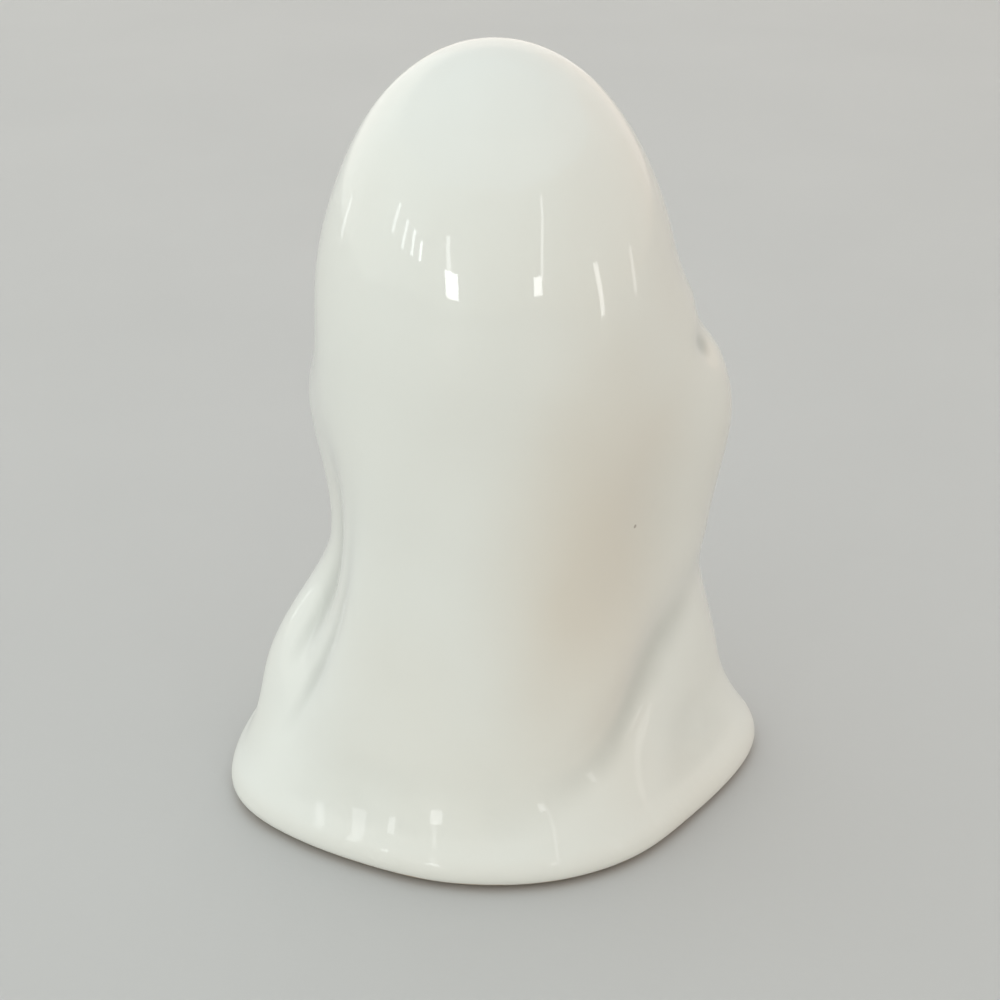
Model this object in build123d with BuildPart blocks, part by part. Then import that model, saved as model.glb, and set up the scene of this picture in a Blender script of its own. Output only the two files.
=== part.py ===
from build123d import *

import os
from dataclasses import dataclass
from math import acos, cos, exp, pi, radians, sin, sqrt

# A ceramic ghost: a sheet that hangs over a round head and two raised arms, cast hollow and open at the
# foot. Millimetres, +Z up, standing on Z = 0 with its face towards -Y.
# Bearings turn about Z from the face: 0 is the front, 90 the figure's left (+X), 180 its back and 270
# its right. Heights in the sheet are measured from the foot rim.

# Head
HEIGHT = 180.0
HEAD_HALF_WIDTH = 41.3
HEAD_HALF_DEPTH = 38.0
DOME_HEIGHT = 69.0
DOME_FULLNESS = 2.08
CROWN_LEAN = 1.0
CROWN_FLAT = 8.0

# Hanging sheet: it draws in at the sides of the waist, flares, and kicks out along the hem
WAIST_HEIGHT = 64.0
WAIST_TUCK = 5.0
HEM_HALF_WIDTH = 68.0
HEM_HALF_DEPTH = 57.5
SIDE_FLARE = 2.1
BACK_FLARE = 2.2
HEM_KICK = 7.0
HEM_KICK_HEIGHT = 25.0
HEM_ROUND = 7.0

# Hollow: a flat-sided core of one oval shape, narrowed to leave a wall all round
WALL = 5.0
CORE_ASPECT = 1.12
CORE_SIDES = 18
CORE_BODY_STEPS = 5
CORE_DOME_STEPS = 4
CORE_DOME_TURN = 66.0

# Face: shallow sockets with black glaze pooled in them, measured down from the crown
EYE_BEARING = 20.0
EYE_HALF_WIDTH = 4.6
EYE_HALF_HEIGHT = 7.2
EYE_DROP = 39.0
EYE_TILT = 8.0
MOUTH_HALF_WIDTH = 5.6
MOUTH_HALF_HEIGHT = 7.0
MOUTH_DROP = 62.0
SOCKET_DEPTH = 1.8
GLAZE_RECESS = 0.6
GLAZE_GAP = 0.05

# Foot pads under the rim, a little inside its outer edge
PAD_DIAMETER = 6.0
PAD_THICKNESS = 1.0
RIM_MARGIN = 0.5
PAD_BEARINGS = {
    "front_left_pad": 42.0,
    "front_right_pad": 318.0,
    "back_left_pad": 138.0,
    "back_right_pad": 222.0,
}

# How finely the sheet is drawn
OUTLINE_POINTS = 36
HEM_ROUND_STEPS = 3
BODY_STEPS = 24
DOME_STEPS = 12


@dataclass
class Fold:
    """A ridge (reach above 0) or a valley (below 0) that runs down the sheet between two heights."""

    low_bearing: float
    high_bearing: float
    spread: float
    reach: float
    low: float
    peak: float
    high: float


# Folds whose low end is below 0 run out through the hem.
RIGHT_ARM = Fold(277, 277, spread=24, reach=14, low=5, peak=89, high=136)
RIGHT_CREASE = Fold(284, 282, spread=14, reach=-2.2, low=106, peak=117, high=123)
LEFT_ARM = Fold(64, 64, spread=26, reach=6.5, low=60, peak=93, high=116)
RIGHT_DRAPE = Fold(283, 281, spread=17, reach=4, low=-90, peak=27, high=59)
LEFT_DRAPE = Fold(52, 52, spread=17, reach=4, low=-90, peak=14, high=80)
LEFT_WING = Fold(97, 86, spread=15, reach=6.9, low=3, peak=32, high=64)
LEFT_GROOVE = Fold(101, 109, spread=9, reach=-3.2, low=8, peak=50, high=104)
LEFT_RIDGE = Fold(107, 146, spread=17, reach=3.4, low=-60, peak=20, high=125)
LEFT_SWEEP = Fold(143, 143, spread=18, reach=-1.2, low=-80, peak=0, high=40)
RIGHT_SWEEP = Fold(243, 250, spread=30, reach=-7.7, low=-60, peak=4, high=88)
RIGHT_VALLEY = Fold(190, 300, spread=19, reach=-2.6, low=8, peak=32, high=72)
FRONT_LEFT_VALLEY = Fold(18, 14, spread=12, reach=-5, low=-50, peak=14, high=84)
FRONT_RIGHT_VALLEY = Fold(336, 340, spread=12, reach=-5.5, low=-50, peak=14, high=84)
FOLDS = [
    RIGHT_ARM,
    RIGHT_CREASE,
    LEFT_ARM,
    RIGHT_DRAPE,
    LEFT_DRAPE,
    LEFT_WING,
    LEFT_GROOVE,
    LEFT_RIDGE,
    LEFT_SWEEP,
    RIGHT_SWEEP,
    RIGHT_VALLEY,
    FRONT_LEFT_VALLEY,
    FRONT_RIGHT_VALLEY,
]

crown = HEIGHT - PAD_THICKNESS
shoulder = crown - DOME_HEIGHT
crown_angle = acos(CROWN_FLAT / 2 / HEAD_HALF_WIDTH)
turns = [180 + 360 * step / OUTLINE_POINTS for step in range(OUTLINE_POINTS)]


def swell(height, low, peak, high):
    """Share of a fold at a height: none at its two ends, all of it at its peak."""
    if not low < height < high:
        return 0.0
    if height < peak:
        part = (height - low) / (peak - low)
    else:
        part = (high - height) / (high - peak)
    return 0.5 - 0.5 * cos(pi * part)


def half_axis(height, head, hem, flare, tuck):
    """Half the sheet's width or depth below the shoulder, without the kick of the hem."""
    drop = 1 - height / shoulder
    drawn_in = tuck * swell(height, 0, WAIST_HEIGHT, shoulder)
    return head - drawn_in + (hem - HEM_KICK - head) * drop**flare


def fold_reach(fold, bearing, height):
    """How far a fold pushes the sheet out at a bearing and a height."""
    share = swell(height, fold.low, fold.peak, fold.high)
    foot = max(fold.low, 0)
    climb = max(0, height - foot) / (fold.high - foot)
    middle = fold.low_bearing + (fold.high_bearing - fold.low_bearing) * climb
    aside = ((bearing - middle + 180) % 360 - 180) / fold.spread
    return fold.reach * share * exp(-(aside**2))


def ellipse_radius(bearing, half_width, half_depth):
    """Distance from the middle of an ellipse to its edge."""
    across = sin(radians(bearing)) / half_width
    along = cos(radians(bearing)) / half_depth
    return 1 / sqrt(across**2 + along**2)


def hem_kick(height):
    """How far the sheet kicks out above the hem, less the round of its lower edge."""
    kick = HEM_KICK * max(0, 1 - height / HEM_KICK_HEIGHT) ** 2
    below = max(0, HEM_ROUND - height)
    return kick - HEM_ROUND + sqrt(HEM_ROUND**2 - below**2)


def sheet_radius(bearing, height):
    """Distance from the head's axis to the outer face of the sheet."""
    if height > shoulder:
        rise = sin(crown_angle) * (height - shoulder) / DOME_HEIGHT
        narrowing = (1 - rise**DOME_FULLNESS) ** (1 / DOME_FULLNESS)
        width = HEAD_HALF_WIDTH * narrowing
        depth = HEAD_HALF_DEPTH * narrowing
    else:
        width = half_axis(height, HEAD_HALF_WIDTH, HEM_HALF_WIDTH, SIDE_FLARE, WAIST_TUCK)
        depth = half_axis(height, HEAD_HALF_DEPTH, HEM_HALF_DEPTH, BACK_FLARE, 0)
    folds = sum(fold_reach(fold, bearing, height) for fold in FOLDS)
    return ellipse_radius(bearing, width, depth) + folds + hem_kick(height)


def place(bearing, height, radius):
    """Point at a bearing and a radius about the head's axis, which leans over above the shoulder."""
    lean = CROWN_LEAN * max(0, height - shoulder) / DOME_HEIGHT
    angle = radians(bearing)
    return (lean + radius * sin(angle), -radius * cos(angle))


def outline(height):
    """Points round the outer face at a height, from the back."""
    return [place(turn, height, sheet_radius(turn, height)) for turn in turns]


# Heights of the outlines: round the hem's lower edge, up the body and over the dome to a small flat
hem_angles = [pi / 2 * step / HEM_ROUND_STEPS for step in range(HEM_ROUND_STEPS)]
hem_heights = [HEM_ROUND * (1 - cos(angle)) for angle in hem_angles]
body_heights = [HEM_ROUND + (shoulder - HEM_ROUND) * step / BODY_STEPS for step in range(BODY_STEPS)]
dome_angles = [crown_angle * step / DOME_STEPS for step in range(DOME_STEPS + 1)]
dome_heights = [shoulder + DOME_HEIGHT * sin(angle) / sin(crown_angle) for angle in dome_angles]

# The footprint is centred on the origin.
edge = [place(b, z, sheet_radius(b, z)) for z in hem_heights + body_heights for b in range(360)]
middle_x = (max(x for x, y in edge) + min(x for x, y in edge)) / 2
middle_y = (max(y for x, y in edge) + min(y for x, y in edge)) / 2


def core_outline(height):
    """Corners of the core at a height: the largest oval of its shape that leaves the wall all round."""
    depths = [(sheet_radius(turn, height) - WALL) / ellipse_radius(turn, CORE_ASPECT, 1) for turn in turns]
    depth = min(depths)
    sides = [360 * step / CORE_SIDES for step in range(CORE_SIDES)]
    return [place(side, height, depth * ellipse_radius(side, CORE_ASPECT, 1)) for side in sides]


# Heights of the core's outlines, up to a flat under the crown
core_body_heights = [shoulder * step / CORE_BODY_STEPS for step in range(CORE_BODY_STEPS)]
core_angles = [radians(CORE_DOME_TURN) * step / CORE_DOME_STEPS for step in range(CORE_DOME_STEPS + 1)]
core_dome_heights = [shoulder + DOME_HEIGHT * sin(angle) for angle in core_angles]
with BuildPart() as core:
    for height in core_body_heights + core_dome_heights:
        with BuildSketch(Plane.XY.offset(PAD_THICKNESS + height)):
            with BuildLine():
                Polyline([(x - middle_x, y - middle_y) for x, y in core_outline(height)], close=True)
            make_face()
    loft(ruled=True)


@dataclass
class FaceSpot:
    """An oval spot on the face."""

    bearing: float
    drop: float
    half_width: float
    half_height: float
    tilt: float


FACE_SPOTS = {
    "left_eye": FaceSpot(EYE_BEARING, EYE_DROP, EYE_HALF_WIDTH, EYE_HALF_HEIGHT, EYE_TILT),
    "right_eye": FaceSpot(-EYE_BEARING, EYE_DROP, EYE_HALF_WIDTH, EYE_HALF_HEIGHT, -EYE_TILT),
    "mouth": FaceSpot(0, MOUTH_DROP, MOUTH_HALF_WIDTH, MOUTH_HALF_HEIGHT, 0),
}


def on_sheet(bearing, height):
    """Point of the outer face at a bearing and a height."""
    x, y = place(bearing, height, sheet_radius(bearing, height))
    return Vector(x - middle_x, y - middle_y, PAD_THICKNESS + height)


def spot_plane(spot):
    """Plane that touches the face at the middle of a spot and looks outwards."""
    height = crown - spot.drop
    across = on_sheet(spot.bearing + 1, height) - on_sheet(spot.bearing - 1, height)
    upwards = on_sheet(spot.bearing, height + 1) - on_sheet(spot.bearing, height - 1)
    return Plane(origin=on_sheet(spot.bearing, height), x_dir=across, z_dir=across.cross(upwards))


def oval_block(spot, gap, top):
    """Oval block from the floor of a spot's socket to a level against the face, smaller by a gap all round."""
    with BuildPart() as block:
        with BuildSketch(spot_plane(spot).offset(-SOCKET_DEPTH)):
            Ellipse(spot.half_width - gap, spot.half_height - gap, rotation=spot.tilt)
        extrude(amount=SOCKET_DEPTH + top)
    return block.part


os.makedirs("parts", exist_ok=True)

# Shell: the sheet from the rolled hem to the crown, less its core, with sockets sunk into the face
with BuildPart() as ghost_shell:
    for height in hem_heights + body_heights + dome_heights:
        with BuildSketch(Plane.XY.offset(PAD_THICKNESS + height)):
            with BuildLine():
                points = [(x - middle_x, y - middle_y) for x, y in outline(height)]
                add(Edge.make_spline(points, periodic=True, parameters=range(OUTLINE_POINTS + 1)))
            make_face()
    loft(ruled=True)
    add(core.part, mode=Mode.SUBTRACT)
    for spot in FACE_SPOTS.values():
        add(oval_block(spot, 0, WALL), mode=Mode.SUBTRACT)
ghost_shell.part.label = "ghost_shell"
export_step(ghost_shell.part, "parts/ghost_shell.step")

# Eyes and mouth: black glaze from the socket's floor to just under the face
for label, spot in FACE_SPOTS.items():
    with BuildPart() as pool:
        add(oval_block(spot, GLAZE_GAP, -GLAZE_RECESS))
    pool.part.label = label
    export_step(pool.part, f"parts/{label}.step")

# Foot pads: discs under the rim
for label, bearing in PAD_BEARINGS.items():
    x, y = place(bearing, 0, sheet_radius(bearing, 0) - RIM_MARGIN - PAD_DIAMETER / 2)
    with BuildPart() as pad:
        with BuildSketch(Plane.XY):
            with Locations((x - middle_x, y - middle_y)):
                Circle(PAD_DIAMETER / 2)
        extrude(amount=PAD_THICKNESS)
    pad.part.label = label
    export_step(pad.part, f"parts/{label}.step")
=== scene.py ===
from dataclasses import dataclass
from math import cos, pi, radians, sin

import bpy
import numpy as np
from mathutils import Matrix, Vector


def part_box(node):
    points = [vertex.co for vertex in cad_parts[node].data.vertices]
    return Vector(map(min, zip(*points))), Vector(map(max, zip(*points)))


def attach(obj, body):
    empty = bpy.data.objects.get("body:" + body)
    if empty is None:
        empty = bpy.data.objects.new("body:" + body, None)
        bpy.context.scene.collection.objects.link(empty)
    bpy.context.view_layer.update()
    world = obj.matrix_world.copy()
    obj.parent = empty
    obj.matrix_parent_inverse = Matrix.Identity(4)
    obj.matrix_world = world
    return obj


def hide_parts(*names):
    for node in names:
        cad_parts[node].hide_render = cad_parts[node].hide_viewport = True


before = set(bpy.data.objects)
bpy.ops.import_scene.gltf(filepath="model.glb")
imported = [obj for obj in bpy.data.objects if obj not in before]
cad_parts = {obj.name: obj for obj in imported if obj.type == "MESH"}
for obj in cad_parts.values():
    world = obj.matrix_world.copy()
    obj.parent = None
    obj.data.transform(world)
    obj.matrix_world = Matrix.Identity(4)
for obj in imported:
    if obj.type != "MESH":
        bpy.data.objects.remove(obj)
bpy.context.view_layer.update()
SHELL_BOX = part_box("ghost_shell")

bl_info = {
    "name": "Ceramic Ghost",
    "version": (1, 0, 0),
    "blender": (4, 5, 0),
    "location": "View3D > Sidebar > Ghost",
    "description": "Builds a glazed ceramic ghost over its CAD frame, and a plain studio round it",
    "category": "Add Mesh",
}

# Bearings turn about Z from the face: 0 is the front (-Y), 90 the figure's left (+X), 180 its back.
# Heights in the sheet are measured from the foot rim. Lengths are in metres.


def length(name, description, default):
    """A length that a user can change."""
    return bpy.props.FloatProperty(
        name=name, description=description, default=default, min=0.0, precision=5, unit="LENGTH"
    )


def angle(name, description, degrees):
    """An angle that a user can change."""
    return bpy.props.FloatProperty(
        name=name, description=description, default=radians(degrees), subtype="ANGLE"
    )


def share(name, description, default):
    """A plain number that a user can change."""
    return bpy.props.FloatProperty(name=name, description=description, default=default, min=0.0)


def colour(name, description, default):
    """A colour that a user can change."""
    return bpy.props.FloatVectorProperty(
        name=name, description=description, default=default, size=3, min=0.0, max=1.0, subtype="COLOR"
    )


class GhostSheet(bpy.types.PropertyGroup):
    """Sizes of the draped sheet."""

    foot: length("Foot", "Height of the foot rim above the table", SHELL_BOX[0].z)
    crown: length("Crown", "Height of the crown above the table", SHELL_BOX[1].z)
    head_half_width: length("Head Half Width", "Half the width of the head", 0.0413)
    head_half_depth: length("Head Half Depth", "Half the depth of the head", 0.038)
    dome_height: length("Dome Height", "Height of the head above the shoulder", 0.069)
    dome_fullness: share("Dome Fullness", "How full the dome is; 2 is an ellipse", 2.08)
    crown_lean: length("Crown Lean", "Sideways lean of the crown", 0.001)
    waist_height: length("Waist Height", "Height of the narrowest part of the sides", 0.064)
    waist_tuck: length("Waist Tuck", "How far the sides draw in at the waist", 0.005)
    hem_half_width: length("Hem Half Width", "Half the width at the hem", 0.068)
    hem_half_depth: length("Hem Half Depth", "Half the depth at the hem", 0.0575)
    side_flare: share("Side Flare", "How late the sides flare", 2.1)
    back_flare: share("Back Flare", "How late the front and back flare", 2.2)
    hem_kick: length("Hem Kick", "How far the hem kicks out", 0.007)
    hem_kick_height: length("Hem Kick Height", "Height at which the kick begins", 0.025)
    hem_round: length("Hem Round", "Radius of the hem's lower edge", 0.007)
    wall: length("Wall", "Least thickness of the cast wall", 0.005)
    core_aspect: share("Core Aspect", "Width of the hollow over its depth", 1.12)
    ripple: length("Ripple", "Slight unevenness left by casting and glazing", 0.00012)


class GhostFace(bpy.types.PropertyGroup):
    """Sizes of the glazed face."""

    eye_bearing: angle("Eye Bearing", "Bearing of each eye from the front", 20)
    eye_half_width: length("Eye Half Width", "Half the width of an eye", 0.0046)
    eye_half_height: length("Eye Half Height", "Half the height of an eye", 0.0072)
    eye_drop: length("Eye Drop", "Middle of the eyes below the crown", 0.039)
    eye_tilt: angle("Eye Tilt", "Lean of each eye", 8)
    mouth_half_width: length("Mouth Half Width", "Half the width of the mouth", 0.0056)
    mouth_half_height: length("Mouth Half Height", "Half the height of the mouth", 0.007)
    mouth_drop: length("Mouth Drop", "Middle of the mouth below the crown", 0.062)
    socket_depth: length("Socket Depth", "Depth of the sockets in the sheet", 0.0018)
    glaze_recess: length("Glaze Recess", "How far the black glaze lies below the sheet", 0.0006)


class GhostFinish(bpy.types.PropertyGroup):
    """Colours of the glazes, the clay and the felt."""

    glaze: colour("Glaze", "White glaze at its usual thickness", (0.82, 0.825, 0.785))
    # Warm glaze is also the colour of a warm shade, painted in one cloud on the back
    warm_glaze_and_painted_shade: colour("Warm Glaze", "White glaze where it is a little creamier", (0.78, 0.74, 0.66))
    # Pooled glaze is partly painted shade: it darkens the folds where shade falls, as well as where the glaze
    # gathers
    pooled_glaze_and_painted_shade: colour("Pooled Glaze", "White glaze that gathers in the folds", (0.55, 0.56, 0.52))
    thin_glaze: colour("Thin Glaze", "White glaze that runs thin over the ridges", (0.81, 0.79, 0.735))
    speck: colour("Speck", "Iron specks in the glaze", (0.16, 0.10, 0.06))
    clay: colour("Clay", "Bare fired clay inside and under the foot", (0.62, 0.50, 0.38))
    black_glaze: colour("Black Glaze", "Black glaze of the face", (0.012, 0.012, 0.014))
    brown_break: colour("Brown Break", "Black glaze where it breaks thin at an edge", (0.06, 0.034, 0.022))
    felt: colour("Felt", "Pressed felt of the foot pads", (0.32, 0.31, 0.29))


class GhostStudio(bpy.types.PropertyGroup):
    """Sizes and colours of the floor, the light and the camera."""

    floor_radius: length("Floor Radius", "Radius of the flat of the floor", 2.5)
    cove_radius: length("Cove Radius", "Radius of the bend from the floor up to the backdrop", 0.7)
    backdrop_height: length("Backdrop Height", "Height of the backdrop", 2.2)
    floor: colour("Floor", "Pale floor and backdrop", (0.58, 0.57, 0.56))
    sky: colour("Sky", "Soft light from all round", (0.05, 0.05, 0.05))
    lens: angle("Lens", "Angle of view of the camera", 28)
    camera_pitch: angle("Camera Pitch", "How far the camera looks down", 27)
    camera_back: length("Camera Back", "Distance of the camera behind the figure", 0.416614)
    camera_height: length("Camera Height", "Height of the camera", 0.2847)


@dataclass
class Fold:
    """A ridge (reach above 0) or a valley (below 0) that runs down the sheet between two heights."""

    low_bearing: float
    high_bearing: float
    spread: float
    reach: float
    low: float
    peak: float
    high: float


FOLDS = {
    "right arm": Fold(277, 277, spread=24, reach=0.014, low=0.005, peak=0.089, high=0.136),
    "right crease": Fold(284, 282, spread=14, reach=-0.0022, low=0.106, peak=0.117, high=0.123),
    "right tuck": Fold(269, 262, spread=6.5, reach=-0.0014, low=0.103, peak=0.112, high=0.119),
    "right slope": Fold(200, 245, spread=26, reach=-0.002, low=0.012, peak=0.066, high=0.112),
    "left crease": Fold(111, 127, spread=6.5, reach=-0.0026, low=0.010, peak=0.040, high=0.096),
    "left arm": Fold(64, 64, spread=26, reach=0.0065, low=0.060, peak=0.093, high=0.116),
    "right drape": Fold(283, 281, spread=17, reach=0.004, low=-0.090, peak=0.027, high=0.059),
    "left drape": Fold(52, 52, spread=17, reach=0.004, low=-0.090, peak=0.014, high=0.080),
    "left wing": Fold(97, 86, spread=15, reach=0.0069, low=0.003, peak=0.032, high=0.064),
    "left groove": Fold(101, 109, spread=9, reach=-0.0032, low=0.008, peak=0.050, high=0.104),
    "left ridge": Fold(107, 146, spread=17, reach=0.0034, low=-0.060, peak=0.020, high=0.125),
    "left sweep": Fold(143, 143, spread=18, reach=-0.0012, low=-0.080, peak=0, high=0.040),
    "right sweep": Fold(243, 250, spread=30, reach=-0.0077, low=-0.060, peak=0.004, high=0.088),
    "right valley": Fold(190, 300, spread=19, reach=-0.0026, low=0.008, peak=0.032, high=0.072),
    "front left valley": Fold(18, 14, spread=12, reach=-0.005, low=-0.050, peak=0.014, high=0.084),
    "front right valley": Fold(336, 340, spread=12, reach=-0.0055, low=-0.050, peak=0.014, high=0.084),
}


# Bearings and heights of a dark pinhole in the glaze of the back, and of the middle of a tall cloud of warm
# shade painted into the glaze there
PINHOLE = (234.2, 0.0759)
PAINTED_SHADE_MIDDLE = (216.0, 0.072)

# How the hollows of the folds are found: how near to look, where to stop, and a fold's usual depth
NEAR_ASIDE = 5
NEAR_UP = 0.005
NEAR_FOOT = 0.004
CROWN_FADE = 0.03
FOLD_DEPTH = 0.0009
SMALLEST_AXIS = 1e-6

# Columns and rows of the shell's mesh, closer together over the face
FACE_BEARING = 32
FACE_STEP = 0.64
BACK_COLUMNS = 200
FACE_TOP = 0.150
FACE_FOOT = 0.108
FACE_ROW = 0.0006
CROWN_ROWS = np.linspace(88.5, 36, 28)
BODY_ROWS = 96
HEM_ROWS = 16
RIM_STEPS = np.array([0.08, 0.3, 0.55, 0.8, 0.95])
CORE_ROWS = np.concatenate([[0.0006], np.linspace(0.004, 0.110, 18), np.linspace(0.115, 0.173, 16)])
CORE_TOP = 0.1735

# Bare clay outside: how high it reaches above the foot, and how bare it gets
BARE_HEIGHT = 0.0026
BARE_SHARE = 0.8

# Pools of black glaze: how far they dome, how round the face is behind them, and how deep their edge tucks
POOL_DOME = 0.00015
POOL_BACK = 0.0004
FACE_ROUND = (0.074, 0.19)
POOL_TUCK = 0.0009

# Pad profile as shares of its radius and its thickness, from the middle of its underside
PAD_PROFILE = np.array(
    [(0.3, 0), (0.7, 0), (0.93, 0.02), (1, 0.2), (1.01, 0.5), (1, 0.85), (0.97, 1), (0.5, 1)]
)


def smooth_step(value):
    """Eases from 0 to 1 as a value goes from 0 to 1."""
    value = np.clip(value, 0, 1)
    return value * value * (3 - 2 * value)


def swell(height, low, peak, high):
    """Share of a fold at a height: none at its two ends, all of it at its peak."""
    rising = np.clip((height - low) / (peak - low), 0, 1)
    falling = np.clip((high - height) / (high - peak), 0, 1)
    return 0.5 - 0.5 * np.cos(pi * np.minimum(rising, falling))


def ellipse_radius(bearing, half_width, half_depth):
    """Distance from the middle of an ellipse to its edge."""
    across = np.sin(np.radians(bearing)) / half_width
    along = np.cos(np.radians(bearing)) / half_depth
    return 1 / np.sqrt(across**2 + along**2)


class Sheet:
    """The draped sheet as distances from the head's axis, over arrays of bearings and heights."""

    def __init__(self, form):
        self.form = form
        self.crown = form.crown - form.foot
        self.shoulder = self.crown - form.dome_height
        self.middle = np.zeros(2)
        bearings, heights = np.meshgrid(np.arange(360.0), np.linspace(0, self.shoulder, 120))
        edge = self.points(bearings, heights)[..., :2].reshape(-1, 2)
        box_middle = np.array((SHELL_BOX[0] + SHELL_BOX[1])[:2]) / 2
        self.middle = (edge.max(axis=0) + edge.min(axis=0)) / 2 - box_middle

    def half_axis(self, height, head, hem, flare, tuck):
        """Half the sheet's width or depth below the shoulder, without the kick of the hem."""
        drop = np.clip(1 - height / self.shoulder, 0, None)
        drawn_in = tuck * swell(height, 0, self.form.waist_height, self.shoulder)
        return head - drawn_in + (hem - self.form.hem_kick - head) * drop**flare

    def fold_reach(self, fold, bearing, height):
        """How far a fold pushes the sheet out."""
        foot = max(fold.low, 0)
        climb = np.clip(height - foot, 0, None) / (fold.high - foot)
        middle = fold.low_bearing + (fold.high_bearing - fold.low_bearing) * climb
        aside = ((bearing - middle + 180) % 360 - 180) / fold.spread
        return fold.reach * swell(height, fold.low, fold.peak, fold.high) * np.exp(-(aside**2))

    def hem_kick(self, height):
        """How far the sheet kicks out above the hem, less the round of its lower edge."""
        kick = self.form.hem_kick * np.clip(1 - height / self.form.hem_kick_height, 0, None) ** 2
        below = np.clip(self.form.hem_round - height, 0, None)
        return kick - self.form.hem_round + np.sqrt(self.form.hem_round**2 - below**2)

    def ripple(self, bearing, height):
        """Slight unevenness of the cast surface, which makes the reflections waver."""
        turn = np.radians(bearing)
        waves = np.sin(5 * turn + 90 * height) + np.sin(8 * turn - 140 * height + 1.3)
        waves = waves + np.sin(3 * turn + 210 * height + 0.4) + 0.6 * np.sin(13 * turn + 60 * height + 2.1)
        fade = smooth_step((self.crown - height) / 0.012)
        return self.form.ripple * waves * fade / 2

    def radius(self, bearing, height):
        """Distance from the head's axis to the outer face."""
        form = self.form
        rise = np.clip((height - self.shoulder) / form.dome_height, 0, 1)
        narrowing = (1 - rise**form.dome_fullness) ** (1 / form.dome_fullness)
        width = self.half_axis(
            height, form.head_half_width, form.hem_half_width, form.side_flare, form.waist_tuck
        )
        depth = self.half_axis(height, form.head_half_depth, form.hem_half_depth, form.back_flare, 0)
        half_axes = [np.maximum(axis * narrowing, SMALLEST_AXIS) for axis in (width, depth)]
        reach = sum(self.fold_reach(fold, bearing, height) for fold in FOLDS.values())
        return ellipse_radius(bearing, *half_axes) + reach + self.hem_kick(height)

    def at(self, bearing, height, radius):
        """Points at bearings, heights and distances from the axis, which leans above the shoulder."""
        lean = self.form.crown_lean * np.clip(height - self.shoulder, 0, None) / self.form.dome_height
        turn = np.radians(bearing)
        x = lean + radius * np.sin(turn) - self.middle[0]
        y = -radius * np.cos(turn) - self.middle[1]
        return np.stack(np.broadcast_arrays(x, y, height + self.form.foot), axis=-1)

    def points(self, bearing, height):
        """Points of the outer face."""
        return self.at(bearing, height, self.radius(bearing, height) + self.ripple(bearing, height))

    def hollowness(self, bearing, height):
        """How far the face lies behind what is near it, over a fold's usual depth: above 0 in a valley."""
        here = self.radius(bearing, height)
        beside = self.radius(bearing - NEAR_ASIDE, height) + self.radius(bearing + NEAR_ASIDE, height)
        higher = np.minimum(height + NEAR_UP, self.crown)
        lower = np.maximum(height - NEAR_UP, NEAR_FOOT)
        over_and_under = self.radius(bearing, higher) + self.radius(bearing, lower)
        fade = smooth_step((self.crown - height) / CROWN_FADE)
        return fade * ((beside + over_and_under) / 4 - here) / FOLD_DEPTH

    def core_radius(self, bearing, height):
        """Distance from the head's axis to the wall of the hollow."""
        round_the_sheet = np.arange(0, 360, 3.0)[:, None]
        levels = np.asarray(height, float).reshape(1, -1)
        oval = ellipse_radius(round_the_sheet, self.form.core_aspect, 1)
        depth = ((self.radius(round_the_sheet, levels) - self.form.wall) / oval).min(axis=0)
        return depth.reshape(np.shape(height)) * ellipse_radius(bearing, self.form.core_aspect, 1)


@dataclass
class Spot:
    """An oval spot on the face and the CAD node that it stands for."""

    node: str
    bearing: float
    drop: float
    half_width: float
    half_height: float
    tilt: float


def face_spots(face):
    """The eyes and the mouth."""
    eye = (face.eye_drop, face.eye_half_width, face.eye_half_height)
    side = np.degrees(face.eye_bearing)
    return [
        Spot("left_eye", side, *eye, face.eye_tilt),
        Spot("right_eye", -side, *eye, -face.eye_tilt),
        Spot("mouth", 0, face.mouth_drop, face.mouth_half_width, face.mouth_half_height, 0),
    ]


class SpotPlane:
    """The plane that touches the sheet at the middle of a spot."""

    def __init__(self, sheet, spot):
        self.spot = spot
        height = sheet.crown - spot.drop
        bearings = np.array([0, -1, 1, 0, 0]) + spot.bearing
        heights = np.array([0, 0, 0, -0.001, 0.001]) + height
        around = sheet.at(bearings, heights, sheet.radius(bearings, heights))
        self.origin = around[0]
        self.across = (around[2] - around[1]) / np.linalg.norm(around[2] - around[1])
        self.outward = np.cross(self.across, around[4] - around[3])
        self.outward /= np.linalg.norm(self.outward)
        self.upward = np.cross(self.outward, self.across)

    def spread(self, points):
        """How far points lie from the middle of the spot, where 1 is its edge."""
        away = points - self.origin
        side = away @ self.across
        up = away @ self.upward
        long_way = -side * sin(self.spot.tilt) + up * cos(self.spot.tilt)
        short_way = side * cos(self.spot.tilt) + up * sin(self.spot.tilt)
        ring = np.hypot(short_way / self.spot.half_width, long_way / self.spot.half_height)
        return np.where(away @ self.outward > -0.02, ring, 9.0)

    def place(self, short_way, long_way, lift):
        """Points from places along the spot's own axes and a lift off the plane."""
        side = short_way * cos(self.spot.tilt) - long_way * sin(self.spot.tilt)
        up = short_way * sin(self.spot.tilt) + long_way * cos(self.spot.tilt)
        return (
            self.origin
            + side[..., None] * self.across
            + up[..., None] * self.upward
            + lift[..., None] * self.outward
        )


def ring_faces(rings, columns, closed_start, closed_end):
    """Faces of a tube of rings, with a point before the first ring or after the last where it closes."""
    first = 1 if closed_start else 0
    here = np.arange(columns)
    beside = (here + 1) % columns
    faces = []
    if closed_start:
        faces += [(0, first + a, first + b) for a, b in zip(here, beside)]
    for ring in range(rings - 1):
        top = first + ring * columns
        low = top + columns
        faces += [(top + a, low + a, low + b, top + b) for a, b in zip(here.tolist(), beside.tolist())]
    if closed_end:
        end = first + rings * columns
        last = end - columns
        faces += [(last + a, end, last + b) for a, b in zip(here, beside)]
    return faces


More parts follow.
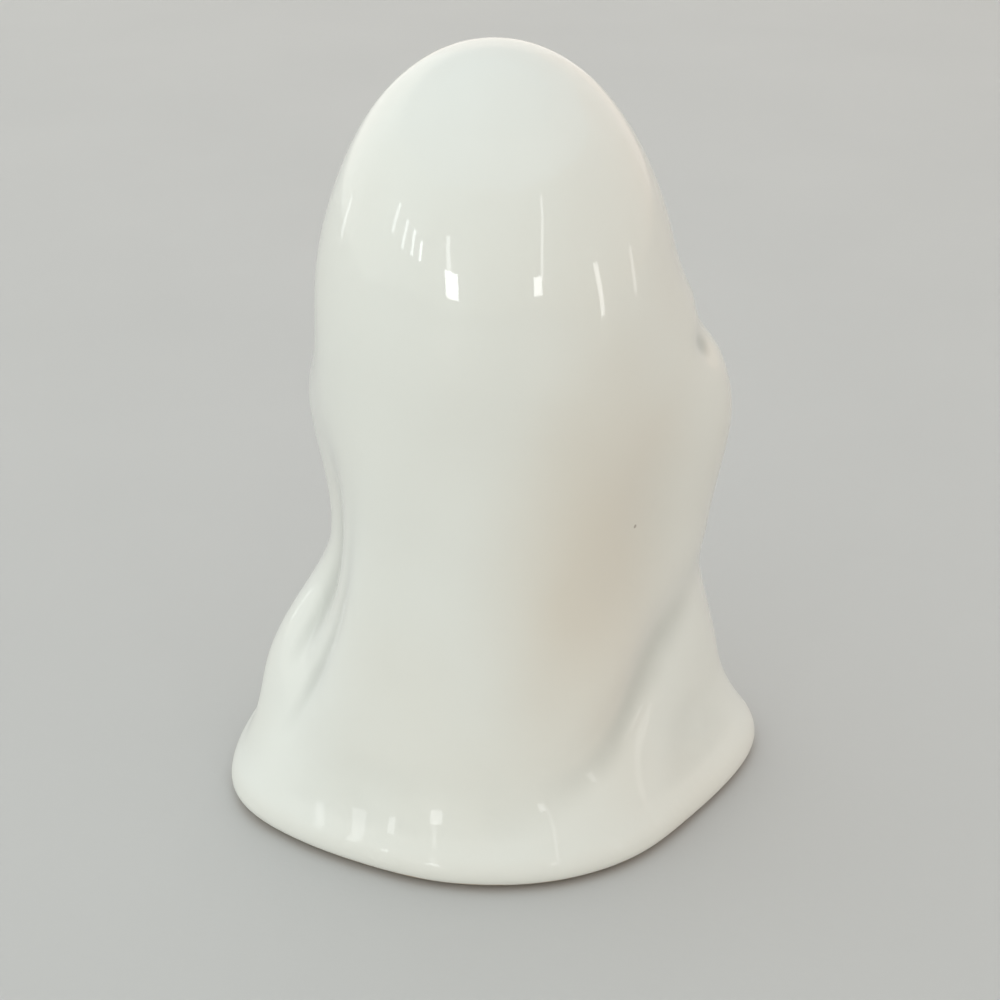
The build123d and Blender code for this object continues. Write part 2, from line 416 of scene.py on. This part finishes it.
def add_piece(name, points, faces, finish, slot, *nodes):
    """A smooth piece of the figure, which rides on the CAD body and stands for CAD nodes."""
    mesh = bpy.data.meshes.new(name)
    mesh.from_pydata(np.asarray(points).tolist(), [], faces)
    mesh.polygons.foreach_set("use_smooth", [True] * len(mesh.polygons))
    mesh.materials.append(finish)
    if mesh.validate():
        raise RuntimeError(f"{name} has broken faces")
    piece = bpy.data.objects.new(name, mesh)
    bpy.context.scene.collection.objects.link(piece)
    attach(piece, "root")
    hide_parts(*nodes)
    return piece


def store(piece, name, values):
    """Keeps a number for each point of a piece, for its material."""
    attribute = piece.data.attributes.new(name, "FLOAT", "POINT")
    attribute.data.foreach_set("value", np.asarray(values, float).ravel())


class Value:
    """A socket of a material that takes part in Python expressions."""

    def __init__(self, socket):
        self.socket = socket
        self.tree = socket.id_data

    def maths(self, operation, first, second):
        """A Math node of two values."""
        return add_node(self.tree, "ShaderNodeMath", {"operation": operation}, {0: first, 1: second})

    def __add__(self, other):
        return self.maths("ADD", self, other)

    def __sub__(self, other):
        return self.maths("SUBTRACT", self, other)

    def __rsub__(self, other):
        return self.maths("SUBTRACT", other, self)

    def __mul__(self, other):
        return self.maths("MULTIPLY", self, other)

    def __lt__(self, other):
        return self.maths("LESS_THAN", self, other)

    __radd__ = __add__
    __rmul__ = __mul__


def add_node(tree, kind, settings, sockets, output=0):
    """Adds a node, makes its settings, then sets or links its sockets. Returns one of its outputs."""
    node = tree.nodes.new(kind)
    for name, setting in settings.items():
        setattr(node, name, setting)
    for key, given in sockets.items():
        if isinstance(given, Value):
            tree.links.new(given.socket, node.inputs[key])
        elif given is not None:
            node.inputs[key].default_value = given
    return Value(node.outputs[output])


def blend(tree, factor, first, second):
    """A colour between two others."""
    sockets = {0: factor, 6: opaque(first), 7: opaque(second)}
    return add_node(tree, "ShaderNodeMix", {"data_type": "RGBA"}, sockets, output=2)


def opaque(given):
    """A colour with its alpha, or a linked colour as it is."""
    return given if isinstance(given, Value) else (*given, 1.0)


def noise(tree, place, scale, detail=2.0, roughness=0.5):
    """Soft noise over the surface, from 0 to 1."""
    sockets = {"Vector": place, "Scale": scale, "Detail": detail, "Roughness": roughness}
    return add_node(tree, "ShaderNodeTexNoise", {}, sockets)


def vector_maths(tree, operation, first, second=None, output=0):
    """A Vector Math node of one or two vectors."""
    sockets = {0: first, 1: second}
    return add_node(tree, "ShaderNodeVectorMath", {"operation": operation}, sockets, output)


def ease(tree, value, low, high):
    """Eases from 0 to 1 as a value goes from low to high."""
    settings = {"interpolation_type": "SMOOTHSTEP"}
    return add_node(tree, "ShaderNodeMapRange", settings, {"Value": value, "From Min": low, "From Max": high})


def attribute(tree, name):
    """A number kept for each point of a piece."""
    return add_node(tree, "ShaderNodeAttribute", {"attribute_name": name}, {}, output="Fac")


def start_material(name):
    """A material with an empty tree, and its places over the surface."""
    material = bpy.data.materials.new(name)
    material.use_nodes = True
    tree = material.node_tree
    tree.nodes.clear()
    place = add_node(tree, "ShaderNodeTexCoord", {}, {}, output="Object")
    return material, tree, place


def finish_material(tree, sockets):
    """Joins a surface shader to the material's output."""
    surface = add_node(tree, "ShaderNodeBsdfPrincipled", {}, sockets)
    output = tree.nodes.new("ShaderNodeOutputMaterial")
    tree.links.new(surface.socket, output.inputs["Surface"])


def bump(tree, height, strength, distance):
    """Normals of a fine relief."""
    sockets = {"Height": height, "Strength": strength, "Distance": distance}
    return add_node(tree, "ShaderNodeBump", {}, sockets)


def white_glaze(finish, pinhole, painted_shade_middle):
    """Glossy white glaze over clay that is left bare inside and under the foot. It pools in the folds, which
    are also darkened with painted shade, and warm shade is painted into one cloud on the back.
    """
    material, tree, place = start_material("white_glaze")
    hollow = attribute(tree, "hollowness")
    mottle = noise(tree, place, 75.0, detail=4.0)
    drift = noise(tree, place, 16.0)

    # Warm shade painted into the glaze in one tall cloud on the back, and faint creamy drifts all over
    offset = vector_maths(tree, "SUBTRACT", place, painted_shade_middle)
    offset = vector_maths(tree, "MULTIPLY", offset, (1.0, 1.0, 0.55))
    from_painted_shade = vector_maths(tree, "LENGTH", offset, output="Value")
    in_painted_shade = ease(tree, 0.036 - from_painted_shade + 0.014 * (drift - 0.5), 0.0, 0.032)
    cream_and_painted_shade = in_painted_shade + 0.25 * ease(tree, drift, 0.4, 0.7)
    glaze = blend(tree, cream_and_painted_shade, finish.glaze, finish.warm_glaze_and_painted_shade)

    # Glaze that pools in the folds, darker there as painted shade, and runs thin over the ridges
    pooled_and_painted_shade = ease(tree, hollow + 0.25 * (mottle - 0.5), 0.05, 0.9)
    glaze = blend(tree, 0.9 * pooled_and_painted_shade, glaze, finish.pooled_glaze_and_painted_shade)
    thin = ease(tree, 0.25 * (mottle - 0.5) - hollow, 0.15, 1.0)
    glaze = blend(tree, 0.35 * thin, glaze, finish.thin_glaze)

    # Iron specks and a pinhole
    cells = {"Vector": place, "Scale": 170.0}
    speck_distance = add_node(tree, "ShaderNodeTexVoronoi", {}, cells, output="Distance")
    speck_chance = add_node(tree, "ShaderNodeTexVoronoi", {}, cells, output="Color")
    red = add_node(tree, "ShaderNodeSeparateColor", {}, {0: speck_chance}, output=0)
    speck = (red < 0.02) * ease(tree, 0.06 - speck_distance, 0.0, 0.03)
    from_pinhole = vector_maths(tree, "DISTANCE", place, pinhole, output="Value")
    speck = speck + 0.7 * ease(tree, 0.0006 - from_pinhole, 0.0, 0.0003)
    glaze = blend(tree, 0.75 * speck, glaze, finish.speck)

    # Bare clay, with an uneven edge to the glaze
    ragged = noise(tree, place, 110.0, detail=3.0)
    bare = ease(tree, attribute(tree, "bare") + 0.5 * (ragged - 0.5), 0.42, 0.58)
    grain = noise(tree, place, 2200.0, detail=3.0)
    clay_shade = blend(tree, grain, finish.clay, [0.82 * part for part in finish.clay])

    # The glaze wavers all over, and is less glassy over the hem
    waver = noise(tree, place, 45.0, detail=1.0)
    level = add_node(tree, "ShaderNodeSeparateXYZ", {}, {0: place}, output="Z")
    hem = ease(tree, 0.045 - level, 0.0, 0.025)
    peel = noise(tree, place, 420.0, detail=2.0)
    relief = 0.8 * waver + 0.08 * peel * (1 - bare) + 0.35 * grain * bare - 0.15 * speck
    finish_material(
        tree,
        {
            "Base Color": blend(tree, bare, glaze, clay_shade),
            "Roughness": 0.3 + 0.06 * mottle + 0.06 * hem + 0.35 * bare,
            "Specular IOR Level": 0.25,
            "Coat Weight": (0.9 - 0.6 * hem) * (1 - bare),
            "Coat Roughness": 0.02,
            "Normal": bump(tree, relief, 0.5, 0.0006),
        },
    )
    return material


def black_glaze(finish):
    """Glossy black glaze that breaks brown where it runs thin at the edge of a socket."""
    material, tree, place = start_material("black_glaze")
    mottle = noise(tree, place, 300.0, detail=3.0)
    thin = ease(tree, attribute(tree, "edge") + 0.3 * (mottle - 0.5), 0.8, 1.05)
    finish_material(
        tree,
        {
            "Base Color": blend(tree, thin, finish.black_glaze, finish.brown_break),
            "Roughness": 0.07 + 0.08 * mottle,
            "Coat Weight": 0.6,
            "Coat Roughness": 0.03,
            "Normal": bump(tree, noise(tree, place, 160.0), 0.4, 0.0003),
        },
    )
    return material


def pressed_felt(finish):
    """Pressed felt: matted fibres in two shades, with a fuzzy sheen."""
    material, tree, place = start_material("felt")
    stretched = add_node(tree, "ShaderNodeMapping", {}, {"Vector": place, "Scale": (1.0, 3.0, 2.0)})
    fibres = noise(tree, stretched, 1500.0, detail=5.0, roughness=0.7)
    tufts = noise(tree, place, 420.0, detail=3.0)
    pale = [min(1.0, 1.35 * part) for part in finish.felt]
    dark = [0.6 * part for part in finish.felt]
    finish_material(
        tree,
        {
            "Base Color": blend(tree, ease(tree, 0.6 * fibres + 0.4 * tufts, 0.3, 0.7), dark, pale),
            "Roughness": 0.85 + 0.1 * fibres,
            "Sheen Weight": 0.4,
            "Normal": bump(tree, 0.7 * fibres + 0.5 * tufts, 0.8, 0.0003),
        },
    )
    return material


def pale_floor(studio):
    """Plain pale floor."""
    material, tree, place = start_material("pale_floor")
    mottle = noise(tree, place, 9.0, detail=5.0)
    shaded = [0.95 * part for part in studio.floor]
    finish_material(
        tree,
        {
            "Base Color": blend(tree, mottle, studio.floor, shaded),
            "Roughness": 0.55 + 0.1 * mottle,
            "Normal": bump(tree, noise(tree, place, 600.0, detail=4.0), 0.1, 0.0004),
        },
    )
    return material


class GHOST_OT_drape(bpy.types.Operator):
    """Build the draped shell: the glazed sheet, its rolled hem, the foot rim and the hollow"""

    bl_idname = "ghost.drape"
    bl_label = "Drape the Sheet"

    def execute(self, context):
        scene = context.scene
        sheet = Sheet(scene.ghost_sheet)
        front = np.arange(-FACE_BEARING, FACE_BEARING, FACE_STEP)
        round_the_back = np.linspace(FACE_BEARING, 360 - FACE_BEARING, BACK_COLUMNS, endpoint=False)
        bearings = np.concatenate([front, round_the_back])[None, :]
        heights = self.outer_heights(sheet)
        outer = sheet.points(bearings, heights)
        face = scene.ghost_face
        for spot in face_spots(face):
            plane = SpotPlane(sheet, spot)
            sunk = smooth_step((1.1 - plane.spread(outer)) / 0.2)
            outer = outer - face.socket_depth * sunk[..., None] * plane.outward
        hollowness = sheet.hollowness(bearings, heights)
        bare_outside = BARE_SHARE * np.clip(1 - heights / BARE_HEIGHT, 0, 1) + 0 * bearings

        # The foot rim and the hollow, up to its flat top
        foot = np.zeros((1, 1))
        rim_out = sheet.radius(bearings, foot)
        rim_in = sheet.core_radius(bearings, foot)
        steps = RIM_STEPS[:, None]
        rim = sheet.at(bearings, 0 * steps, rim_out + (rim_in - rim_out) * steps)
        core_heights = CORE_ROWS[:, None]
        core = sheet.at(bearings, core_heights, sheet.core_radius(bearings, core_heights))

        rings = np.concatenate([outer, rim, core])
        top = sheet.at(0.0, np.array(sheet.crown), 0.0)
        inner_top = sheet.at(0.0, np.array(CORE_TOP), 0.0)
        points = np.concatenate([[top], rings.reshape(-1, 3), [inner_top]])
        faces = ring_faces(len(rings), rings.shape[1], True, True)
        # The cloud is warm shade painted into the glaze
        pinhole, painted_shade_middle = (sheet.points(bearing, np.array(height)) for bearing, height in (PINHOLE, PAINTED_SHADE_MIDDLE))
        glaze = white_glaze(scene.ghost_finish, pinhole, painted_shade_middle)
        piece = add_piece("draped_shell", points, faces, glaze, "white_glaze", "ghost_shell")
        inside = np.zeros((len(rim) + len(core), rings.shape[1]))
        store(piece, "hollowness", np.concatenate([[0], hollowness.ravel(), inside.ravel(), [0]]))
        store(piece, "bare", np.concatenate([[0], bare_outside.ravel(), inside.ravel() + 1, [1]]))
        return {"FINISHED"}

    def outer_heights(self, sheet):
        """Rows of the outer face, from the crown to the flat of the foot."""
        form = sheet.form
        rows = [
            sheet.shoulder + form.dome_height * np.sin(np.radians(CROWN_ROWS)),
            np.arange(FACE_TOP, FACE_FOOT, -FACE_ROW),
            np.linspace(FACE_FOOT - FACE_ROW, form.hem_round, BODY_ROWS, endpoint=False),
            form.hem_round * (1 - np.sin(np.radians(np.linspace(0, 90, HEM_ROWS)))),
        ]
        return np.concatenate(rows)[:, None]


class GHOST_OT_face(bpy.types.Operator):
    """Pool black glaze in the sockets of the eyes and the mouth"""

    bl_idname = "ghost.face"
    bl_label = "Glaze the Face"

    def execute(self, context):
        scene = context.scene
        sheet = Sheet(scene.ghost_sheet)
        face = scene.ghost_face
        finish = black_glaze(scene.ghost_finish)
        turns = np.linspace(0, 2 * pi, 64, endpoint=False)[None, :]
        rings = np.concatenate([np.linspace(0.06, 0.98, 16), [1.02, 1.05]])[:, None]
        for spot in face_spots(face):
            plane = SpotPlane(sheet, spot)
            short_way = spot.half_width * rings * np.sin(turns)
            long_way = spot.half_height * rings * np.cos(turns)
            domed = POOL_DOME * (1 - rings**2)
            follow = short_way**2 / FACE_ROUND[0] + long_way**2 / FACE_ROUND[1]
            tuck = POOL_TUCK * smooth_step((rings - 0.9) / 0.15)
            lift = domed - face.glaze_recess - follow - tuck
            pool = plane.place(short_way, long_way, lift)
            centre = plane.origin - (face.glaze_recess - POOL_DOME) * plane.outward
            back = plane.origin - (face.socket_depth + POOL_BACK) * plane.outward
            points = np.concatenate([[centre], pool.reshape(-1, 3), [back]])
            faces = ring_faces(len(rings), turns.size, True, True)
            faces = [tuple(reversed(corners)) for corners in faces]
            piece = add_piece(f"{spot.node}_glaze", points, faces, finish, "black_glaze", spot.node)
            edge = np.concatenate([[0], (rings + 0 * turns).ravel(), [1]])
            store(piece, "edge", edge)
        return {"FINISHED"}


class GHOST_OT_pads(bpy.types.Operator):
    """Press the felt pads onto the foot"""

    bl_idname = "ghost.pads"
    bl_label = "Add the Foot Pads"

    def execute(self, context):
        finish = pressed_felt(context.scene.ghost_finish)
        turns = np.linspace(0, 2 * pi, 48, endpoint=False)[None, :]
        for node in [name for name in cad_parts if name.endswith("_pad")]:
            low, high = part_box(node)
            middle = (low + high) / 2
            fuzz = 1 + 0.008 * np.sin(7 * turns + middle.x * 900) + 0.006 * np.sin(17 * turns)
            radius = (high.x - low.x) / 2 * PAD_PROFILE[:, :1] * fuzz
            level = low.z + (high.z - low.z) * PAD_PROFILE[:, 1:]
            x, y = middle.x + radius * np.cos(turns), middle.y + radius * np.sin(turns)
            rings = np.stack(np.broadcast_arrays(x, y, level), axis=-1)
            ends = [[(middle.x, middle.y, end.z)] for end in (low, high)]
            points = np.concatenate([ends[0], rings.reshape(-1, 3), ends[1]])
            faces = ring_faces(len(rings), turns.size, True, True)
            faces = [tuple(reversed(corners)) for corners in faces]
            add_piece(f"{node}_felt", points, faces, finish, "felt", node)
        return {"FINISHED"}


@dataclass
class Lamp:
    """A panel of light, placed by the direction that it comes from. It faces that way unless it leans."""

    name: str
    bearing: float
    rise: float
    width: float
    height: float
    distance: float
    brightness: float
    tint: tuple
    lean: float = None
    shape: str = "RECTANGLE"


COOL = (0.95, 0.98, 1.0)
COOLISH = (0.97, 0.99, 1.0)
NEUTRAL = (1.0, 1.0, 1.0)
WARMISH = (1.0, 0.98, 0.95)
WARM = (1.0, 0.97, 0.93)

# Small lamps that shine in the glaze. Bearings of lamps turn from behind the figure (+Y) to its left.
SPOT_LAMPS = [
    Lamp("left lamp", 25.7, 3, 0.13, 0.14, 1.2, 10, COOLISH),
    Lamp("left strip", 26.5, 11, 0.045, 0.26, 1.2, 4, COOLISH),
    Lamp("middle lamp", -26, 4, 0.085, 0.12, 1.2, 8.5, NEUTRAL),
    Lamp("middle strip", -28.5, 17, 0.03, 0.5, 1.2, 3.5, NEUTRAL),
    Lamp("right strip", -61, -1, 0.07, 0.33, 1.2, 5, WARMISH),
    Lamp("far right strip", -88, -1, 0.06, 0.2, 1.2, 2, WARM),
    Lamp("first pane", 72, 14, 0.05, 0.2, 1.2, 4, COOL),
    Lamp("second pane", 62, 11, 0.05, 0.2, 1.2, 5, COOL),
    Lamp("third pane", 53.5, 10, 0.05, 0.18, 1.2, 6, COOL),
    Lamp("fourth pane", 46, 8.5, 0.045, 0.14, 1.2, 8, COOL),
    Lamp("far left strip", 117, -1, 0.06, 0.14, 1.2, 1.5, COOLISH),
]


@dataclass
class TentRow:
    """A row of panels of the light tent: its heights, its mean light, and what its left and back add."""

    low: float
    high: float
    mean: tuple
    left: tuple
    behind: tuple

    def light(self, bearing):
        """Light of the panel at a bearing."""
        left = sin(radians(bearing)) * np.array(self.left)
        return np.array(self.mean) + left + cos(radians(bearing)) * np.array(self.behind)


TENT_RADIUS = 2.5
TENT_SIDES = 12
TENT_TOP = 3.5
TENT_ROWS = {
    "low": TentRow(
        0.0, TENT_TOP / 2, mean=(0.55, 0.5, 0.42), left=(0.19, 0.28, 0.3), behind=(-0.18, -0.16, -0.17)
    ),
    "high": TentRow(
        TENT_TOP / 2, TENT_TOP, mean=(0.87, 0.91, 0.91), left=(-0.06, -0.05, -0.04), behind=(0.13, 0.17, 0.19)
    ),
}
TENT_ROOF = np.array((0.79, 0.88, 0.91))

# How far the camera stands aside, and the point that the lamps face
CAMERA_ASIDE = -0.0007
AIM = Vector((0, 0, 0.13))


def tent_lamps():
    """A light tent: two rows of upright panels all round the figure, and a round roof."""
    lamps = []
    width = 2 * TENT_RADIUS * np.tan(pi / TENT_SIDES)
    for name, row in TENT_ROWS.items():
        rise = np.degrees(np.arctan2((row.low + row.high) / 2 - AIM.z, TENT_RADIUS))
        distance = TENT_RADIUS / cos(radians(rise))
        height = row.high - row.low
        for side in range(TENT_SIDES):
            bearing = 360 / TENT_SIDES * side
            light = row.light(bearing)
            level, tint = light.max(), light / light.max()
            label = f"{name} panel {side + 1}"
            lamps.append(Lamp(label, bearing, rise, width, height, distance, level, tint, lean=0))
    across = 2 * TENT_RADIUS
    level, tint = TENT_ROOF.max(), TENT_ROOF / TENT_ROOF.max()
    lamps.append(Lamp("roof panel", 0, 90, across, across, TENT_TOP - AIM.z, level, tint, shape="ELLIPSE"))
    return lamps


class GHOST_OT_stage(bpy.types.Operator):
    """Lay the pale floor, hang the lamps and set the camera"""

    bl_idname = "ghost.stage"
    bl_label = "Set the Stage"

    def execute(self, context):
        scene = context.scene
        studio = scene.ghost_studio
        self.lay_floor(scene, studio)
        for lamp in SPOT_LAMPS + tent_lamps():
            self.hang(scene, lamp)
        world = bpy.data.worlds.new("soft sky")
        world.use_nodes = True
        world.node_tree.nodes["Background"].inputs["Color"].default_value = (*studio.sky, 1.0)
        scene.world = world
        lens = bpy.data.cameras.new("photo lens")
        lens.angle = studio.lens
        camera = bpy.data.objects.new("photo camera", lens)
        camera.location = (CAMERA_ASIDE, studio.camera_back, studio.camera_height)
        camera.rotation_euler = (pi / 2 - studio.camera_pitch, 0, pi)
        scene.collection.objects.link(camera)
        scene.camera = camera
        scene.view_settings.view_transform = "Standard"
        return {"FINISHED"}

    def lay_floor(self, scene, studio):
        """A round floor that bends up into a backdrop."""
        turns = np.linspace(0, 2 * pi, 96, endpoint=False)[None, :]
        bend = np.radians(np.linspace(0, 90, 14))
        flat = studio.floor_radius * np.linspace(0.05, 1, 10, endpoint=False)
        radius = np.concatenate([flat, studio.floor_radius + studio.cove_radius * np.sin(bend)])
        level = np.concatenate([0 * flat, studio.cove_radius * (1 - np.cos(bend))])
        radius = np.append(radius, radius[-1])[:, None]
        level = np.append(level, studio.backdrop_height)[:, None]
        rings = np.stack(np.broadcast_arrays(radius * np.cos(turns), radius * np.sin(turns), level), axis=-1)
        mesh = bpy.data.meshes.new("floor")
        faces = ring_faces(len(rings), turns.size, True, False)
        mesh.from_pydata([(0, 0, 0)] + rings.reshape(-1, 3).tolist(), [], faces)
        mesh.polygons.foreach_set("use_smooth", [True] * len(mesh.polygons))
        mesh.materials.append(pale_floor(studio))
        floor = bpy.data.objects.new("floor", mesh)
        scene.collection.objects.link(floor)

    def hang(self, scene, lamp):
        """Hangs a lamp so that it faces the figure, or leans as much as it says."""
        light = bpy.data.lights.new(lamp.name, "AREA")
        light.shape = lamp.shape
        light.size = lamp.width
        light.size_y = lamp.height
        area = lamp.width * lamp.height * (pi / 4 if lamp.shape == "ELLIPSE" else 1)
        light.energy = lamp.brightness * pi * area
        light.color = lamp.tint
        panel = bpy.data.objects.new(lamp.name, light)
        panel.location = AIM + lamp.distance * self.direction(lamp.bearing, lamp.rise)
        lean = lamp.rise if lamp.lean is None else lamp.lean
        panel.rotation_euler = self.direction(lamp.bearing, lean).to_track_quat("Z", "Y").to_euler()
        scene.collection.objects.link(panel)

    def direction(self, bearing, rise):
        """A direction from a bearing and a rise in degrees."""
        bearing, rise = radians(bearing), radians(rise)
        return Vector((sin(bearing) * cos(rise), cos(bearing) * cos(rise), sin(rise)))


class GHOST_PT_sidebar(bpy.types.Panel):
    """Lists the steps that build the ghost"""

    bl_idname = "GHOST_PT_sidebar"
    bl_label = "Ceramic Ghost"
    bl_space_type = "VIEW_3D"
    bl_region_type = "UI"
    bl_category = "Ghost"

    def draw(self, context):
        column = self.layout.column()
        for operator in OPERATORS:
            column.operator(operator.bl_idname)
        for group in (context.scene.ghost_sheet, context.scene.ghost_face, context.scene.ghost_finish):
            box = self.layout.box()
            for name in group.__annotations__:
                box.prop(group, name)


GROUPS = {
    "ghost_sheet": GhostSheet,
    "ghost_face": GhostFace,
    "ghost_finish": GhostFinish,
    "ghost_studio": GhostStudio,
}
OPERATORS = (GHOST_OT_drape, GHOST_OT_face, GHOST_OT_pads, GHOST_OT_stage)


def register():
    for name, group in GROUPS.items():
        bpy.utils.register_class(group)
        setattr(bpy.types.Scene, name, bpy.props.PointerProperty(type=group))
    for operator in OPERATORS:
        bpy.utils.register_class(operator)
    bpy.utils.register_class(GHOST_PT_sidebar)


def unregister():
    bpy.utils.unregister_class(GHOST_PT_sidebar)
    for operator in reversed(OPERATORS):
        bpy.utils.unregister_class(operator)
    for name, group in reversed(GROUPS.items()):
        delattr(bpy.types.Scene, name)
        bpy.utils.unregister_class(group)


def main():
    """Builds every piece and the stage."""
    register()
    bpy.ops.ghost.drape()
    bpy.ops.ghost.face()
    bpy.ops.ghost.pads()
    bpy.ops.ghost.stage()


if __name__ == "__main__":
    main()
